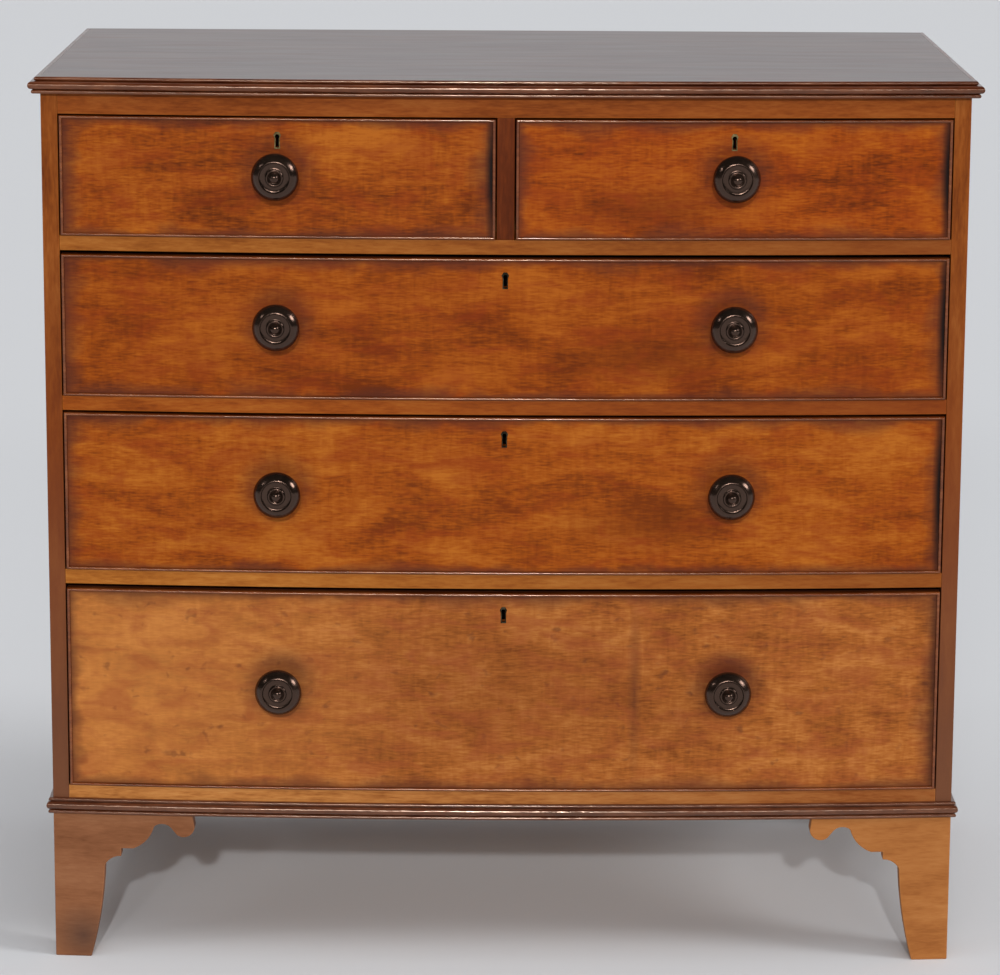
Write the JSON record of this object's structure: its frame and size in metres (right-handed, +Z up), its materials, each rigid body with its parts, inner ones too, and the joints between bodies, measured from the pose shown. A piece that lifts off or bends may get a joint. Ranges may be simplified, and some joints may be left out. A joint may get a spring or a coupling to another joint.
{
  "type": "bow front chest of drawers",
  "caption": "Bow front chest of drawers with cock-beaded sliding drawers, turned dark knobs, brass-lined keyholes with lock bolts, reeded top and base edges and scrolled bracket feet.",
  "frame": {"origin": "on the floor, midway in width and midway in depth between the faces of the knobs and the back", "axes": "+X along the width to the right seen from the front, +Y from the front to the back, +Z up"},
  "size_m": [1.02, 0.5974, 0.982],
  "materials": {
    "carcass_mahogany": "waxed, worn",
    "drawer_veneer": "figured veneer, polished",
    "moulding_mahogany": "dark, polished",
    "drawer_lining": "bare, aged",
    "carcass_pine": "bare, aged",
    "knob_dark_wood": "dark, polished",
    "brass": "aged",
    "lock_steel": "dull"
  },
  "bodies": {
    "carcass": {"back_boards": "carcass_pine", "base_mouldings": "moulding_mahogany", "bottom_board": "carcass_pine", "bottom_rail": "carcass_mahogany", "centre_divider": "carcass_mahogany", "drawer_runners": "carcass_pine", "drawer_stops": "carcass_pine", "dust_boards": "carcass_pine", "foot_blocks": "carcass_pine", "front_left_foot": "carcass_mahogany", "front_right_foot": "carcass_mahogany", "left_side": "carcass_mahogany", "lower_rail": "carcass_mahogany", "middle_rail": "carcass_mahogany", "rear_feet": "carcass_mahogany", "right_side": "carcass_mahogany", "top_board": "carcass_mahogany", "top_mouldings": "moulding_mahogany", "top_rail": "carcass_mahogany", "upper_rail": "carcass_mahogany"},
    "short_left_drawer": {"short_left_bottom": "drawer_lining", "short_left_box": "drawer_lining", "short_left_cock_beads": "moulding_mahogany", "short_left_escutcheon": "brass", "short_left_front": "drawer_veneer", "short_left_knobs": "knob_dark_wood", "short_left_lock": "brass"},
    "short_left_bolt": {"short_left_lock_bolt": "lock_steel"},
    "short_right_drawer": {"short_right_bottom": "drawer_lining", "short_right_box": "drawer_lining", "short_right_cock_beads": "moulding_mahogany", "short_right_escutcheon": "brass", "short_right_front": "drawer_veneer", "short_right_knobs": "knob_dark_wood", "short_right_lock": "brass"},
    "short_right_bolt": {"short_right_lock_bolt": "lock_steel"},
    "second_drawer": {"second_bottom": "drawer_lining", "second_box": "drawer_lining", "second_cock_beads": "moulding_mahogany", "second_escutcheon": "brass", "second_front": "drawer_veneer", "second_knobs": "knob_dark_wood", "second_lock": "brass"},
    "second_bolt": {"second_lock_bolt": "lock_steel"},
    "third_drawer": {"third_bottom": "drawer_lining", "third_box": "drawer_lining", "third_cock_beads": "moulding_mahogany", "third_escutcheon": "brass", "third_front": "drawer_veneer", "third_knobs": "knob_dark_wood", "third_lock": "brass"},
    "third_bolt": {"third_lock_bolt": "lock_steel"},
    "bottom_drawer": {"bottom_bottom": "drawer_lining", "bottom_box": "drawer_lining", "bottom_cock_beads": "moulding_mahogany", "bottom_escutcheon": "brass", "bottom_front": "drawer_veneer", "bottom_knobs": "knob_dark_wood", "bottom_lock": "brass"},
    "bottom_bolt": {"bottom_lock_bolt": "lock_steel"}
  },
  "joints": [
    {"name": "short_left_drawer_slide", "type": "slide", "parent": "carcass", "child": "short_left_drawer", "axis": [0, -1, 0], "range_m": [0, 0.38]},
    {"name": "short_left_bolt_slide", "type": "slide", "parent": "short_left_drawer", "child": "short_left_bolt", "axis": [0, 0, 1], "range_m": [0, 0.008]},
    {"name": "short_right_drawer_slide", "type": "slide", "parent": "carcass", "child": "short_right_drawer", "axis": [0, -1, 0], "range_m": [0, 0.38]},
    {"name": "short_right_bolt_slide", "type": "slide", "parent": "short_right_drawer", "child": "short_right_bolt", "axis": [0, 0, 1], "range_m": [0, 0.008]},
    {"name": "second_drawer_slide", "type": "slide", "parent": "carcass", "child": "second_drawer", "axis": [0, -1, 0], "range_m": [0, 0.38]},
    {"name": "second_bolt_slide", "type": "slide", "parent": "second_drawer", "child": "second_bolt", "axis": [0, 0, 1], "range_m": [0, 0.008]},
    {"name": "third_drawer_slide", "type": "slide", "parent": "carcass", "child": "third_drawer", "axis": [0, -1, 0], "range_m": [0, 0.38]},
    {"name": "third_bolt_slide", "type": "slide", "parent": "third_drawer", "child": "third_bolt", "axis": [0, 0, 1], "range_m": [0, 0.008]},
    {"name": "bottom_drawer_slide", "type": "slide", "parent": "carcass", "child": "bottom_drawer", "axis": [0, -1, 0], "range_m": [0, 0.38]},
    {"name": "bottom_bolt_slide", "type": "slide", "parent": "bottom_drawer", "child": "bottom_bolt", "axis": [0, 0, 1], "range_m": [0, 0.008]}
  ]
}
